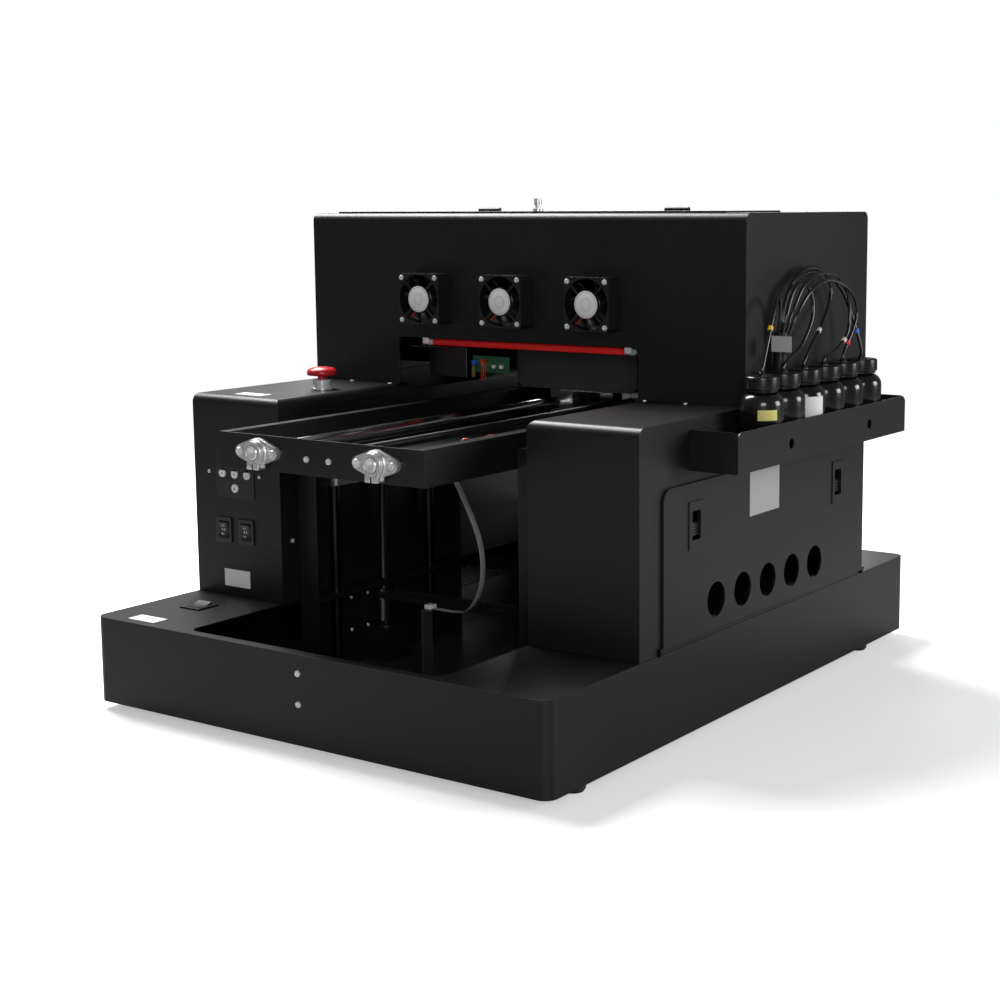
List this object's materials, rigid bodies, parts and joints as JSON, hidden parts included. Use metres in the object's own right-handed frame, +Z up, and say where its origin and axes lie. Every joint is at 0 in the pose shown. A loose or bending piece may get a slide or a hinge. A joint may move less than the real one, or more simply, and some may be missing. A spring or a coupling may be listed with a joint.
{
  "type": "flatbed uv printer",
  "caption": "Desktop flatbed UV printer with a lifting bed, sliding platen, print carriage, cooling fans, controls and a side ink shelf.",
  "frame": {"origin": "middle of the footprint, on the surface that the feet stand on", "axes": "+X to the right seen from the front, +Y from the front to the back, +Z up"},
  "size_m": [0.667, 0.794, 0.559],
  "materials": {
    "black_steel": "fine textured black powder coat",
    "floor_steel": "smooth black paint",
    "rubber": "matte",
    "belt_rubber": "matte",
    "black_plastic": "satin moulded",
    "fan_plastic": "satin moulded",
    "chrome": "polished",
    "dark_shaft": "black oxide",
    "zinc_steel": "bright zinc",
    "screw_steel": "ground",
    "cast_white": "bright cast",
    "panel_film": "satin film",
    "button_white": "gloss",
    "stop_red": "satin",
    "bar_red": "satin",
    "motor_black": "satin",
    "beam_grey": "satin",
    "carriage_grey": "satin",
    "head_metal": "satin",
    "cap_grey": "satin",
    "board_green": "solder mask",
    "supply_steel": "satin",
    "bottle_black": "satin",
    "cap_black": "ribbed matte",
    "tube_black": "gloss",
    "aluminium": "machined",
    "platen_alu": "black anodised",
    "ribbon_grey": "satin"
  },
  "bodies": {
    "machine": {"base_shell": "black_steel", "base_floor": "floor_steel", "rubber_feet": "rubber", "left_tower": "black_steel", "right_tower": "black_steel", "hood_shell": "black_steel", "rear_panel": "black_steel", "fan_frames": "black_plastic", "case_screws": "zinc_steel", "estop_body": "chrome", "panel_plate": "panel_film", "rocker_bezels": "black_plastic", "lift_columns": "black_steel", "lift_guide_rods": "dark_shaft", "lift_belt": "belt_rubber", "lift_motor": "motor_black", "gantry_beam": "beam_grey", "carriage_belt": "belt_rubber", "carriage_motor": "motor_black", "capping_station": "cap_grey", "control_board": "board_green", "power_supply": "supply_steel", "guard_bar": "bar_red", "ink_shelf": "black_steel", "ink_bottles": "bottle_black", "bottle_caps": "cap_black", "ink_tubes": "tube_black", "wall_fittings": "black_plastic", "hinge_pins": "zinc_steel", "ribbon_cable": "ribbon_grey"},
    "bed": {"bed_frame": "black_steel", "bed_rods": "chrome", "rod_supports": "cast_white", "bed_bolts": "zinc_steel", "lift_carriages": "aluminium", "platen_motor": "motor_black"},
    "platen": {"platen_plate": "platen_alu", "platen_bearings": "aluminium"},
    "carriage": {"carriage_body": "carriage_grey", "print_head": "head_metal"},
    "lift_screw_left": {"lift_screw_left": "screw_steel"},
    "lift_screw_right": {"lift_screw_right": "screw_steel"},
    "carriage_pulley": {"carriage_pulley": "aluminium"},
    "carriage_idler": {"carriage_idler": "aluminium"},
    "platen_screw": {"platen_screw": "screw_steel"},
    "fan_rotor_left": {"fan_rotor_left": "fan_plastic"},
    "fan_rotor_mid": {"fan_rotor_mid": "fan_plastic"},
    "fan_rotor_right": {"fan_rotor_right": "fan_plastic"},
    "estop_button": {"estop_button": "stop_red"},
    "power_rocker": {"power_rocker": "black_plastic"},
    "panel_rocker_left": {"panel_rocker_left": "black_plastic"},
    "panel_rocker_right": {"panel_rocker_right": "black_plastic"},
    "button_left": {"button_left": "button_white"},
    "button_mid": {"button_mid": "button_white"},
    "button_right": {"button_right": "button_white"},
    "button_low": {"button_low": "button_white"},
    "top_lid": {"top_lid": "black_steel"},
    "side_door": {"side_door": "black_steel"},
    "latch_front": {"latch_front": "black_plastic"},
    "latch_rear": {"latch_rear": "black_plastic"}
  },
  "joints": [
    {"name": "lift", "type": "slide", "parent": "machine", "child": "bed", "axis": [0, 0, 1], "range_m": [-0.12, 0.008], "deforming": ["ribbon_cable"]},
    {"name": "lift_screw_left_turn", "type": "hinge", "parent": "machine", "child": "lift_screw_left", "pos_m": [-0.1825, -0.085, 0.1], "axis": [0, 0, 1], "range_deg": [-400, 5500]},
    {"name": "lift_screw_right_turn", "type": "hinge", "parent": "machine", "child": "lift_screw_right", "pos_m": [0.1275, -0.085, 0.1], "axis": [0, 0, 1], "range_deg": [-400, 5500]},
    {"name": "platen_travel", "type": "slide", "parent": "bed", "child": "platen", "axis": [0, 1, 0], "range_m": [-0.52, 0]},
    {"name": "platen_screw_turn", "type": "hinge", "parent": "bed", "child": "platen_screw", "pos_m": [-0.0275, 0.005, 0.3005], "axis": [0, 1, 0], "range_deg": [-10, 9400]},
    {"name": "carriage_travel", "type": "slide", "parent": "machine", "child": "carriage", "axis": [1, 0, 0], "range_m": [-0.235, 0.15]},
    {"name": "carriage_pulley_turn", "type": "hinge", "parent": "machine", "child": "carriage_pulley", "pos_m": [-0.2935, 0.104, 0.455], "axis": [0, 1, 0], "range_deg": [-1000, 1550]},
    {"name": "carriage_idler_turn", "type": "hinge", "parent": "machine", "child": "carriage_idler", "pos_m": [0.2385, 0.104, 0.455], "axis": [0, 1, 0], "range_deg": [-1000, 1550]},
    {"name": "fan_left_spin", "type": "hinge", "parent": "machine", "child": "fan_rotor_left", "pos_m": [-0.1465, -0.043, 0.442], "axis": [0, -1, 0], "continuous": true},
    {"name": "fan_mid_spin", "type": "hinge", "parent": "machine", "child": "fan_rotor_mid", "pos_m": [-0.0275, -0.043, 0.442], "axis": [0, -1, 0], "continuous": true},
    {"name": "fan_right_spin", "type": "hinge", "parent": "machine", "child": "fan_rotor_right", "pos_m": [0.0915, -0.043, 0.442], "axis": [0, -1, 0], "continuous": true},
    {"name": "estop_press", "type": "slide", "parent": "machine", "child": "estop_button", "axis": [0, 0, -1], "range_m": [0, 0.004]},
    {"name": "power_rock", "type": "hinge", "parent": "machine", "child": "power_rocker", "pos_m": [-0.2685, -0.302, 0.1035], "axis": [1, 0, 0], "range_deg": [-16, 0]},
    {"name": "panel_left_rock", "type": "hinge", "parent": "machine", "child": "panel_rocker_left", "pos_m": [-0.2875, -0.2395, 0.182], "axis": [1, 0, 0], "range_deg": [-9, 9], "stiffness_Nm_per_rad": 0.05},
    {"name": "panel_right_rock", "type": "hinge", "parent": "machine", "child": "panel_rocker_right", "pos_m": [-0.2525, -0.2395, 0.182], "axis": [1, 0, 0], "range_deg": [-9, 9], "stiffness_Nm_per_rad": 0.05},
    {"name": "button_left_press", "type": "slide", "parent": "machine", "child": "button_left", "axis": [0, 1, 0], "range_m": [0, 0.001], "stiffness_N_per_m": 500},
    {"name": "button_mid_press", "type": "slide", "parent": "machine", "child": "button_mid", "axis": [0, 1, 0], "range_m": [0, 0.001], "stiffness_N_per_m": 500},
    {"name": "button_right_press", "type": "slide", "parent": "machine", "child": "button_right", "axis": [0, 1, 0], "range_m": [0, 0.001], "stiffness_N_per_m": 500},
    {"name": "button_low_press", "type": "slide", "parent": "machine", "child": "button_low", "axis": [0, 1, 0], "range_m": [0, 0.001], "stiffness_N_per_m": 500},
    {"name": "lid_open", "type": "hinge", "parent": "machine", "child": "top_lid", "pos_m": [-0.0275, 0.1086, 0.5454], "axis": [-1, 0, 0], "range_deg": [0, 105]},
    {"name": "door_open", "type": "hinge", "parent": "machine", "child": "side_door", "pos_m": [0.28, 0.0295, 0.1105], "axis": [0, 1, 0], "range_deg": [0, 90]},
    {"name": "latch_front_slide", "type": "slide", "parent": "side_door", "child": "latch_front", "axis": [0, 0, 1], "range_m": [0, 0.008]},
    {"name": "latch_rear_slide", "type": "slide", "parent": "side_door", "child": "latch_rear", "axis": [0, 0, 1], "range_m": [0, 0.008]}
  ],
  "couplings": [
    {"joint": "lift_screw_left_turn", "follows": "lift", "rad_per_m": -785.4},
    {"joint": "lift_screw_right_turn", "follows": "lift", "rad_per_m": -785.4},
    {"joint": "platen_screw_turn", "follows": "platen_travel", "rad_per_m": -314.16},
    {"joint": "carriage_pulley_turn", "follows": "carriage_travel", "rad_per_m": -111.11},
    {"joint": "carriage_idler_turn", "follows": "carriage_travel", "rad_per_m": -111.11}
  ]
}
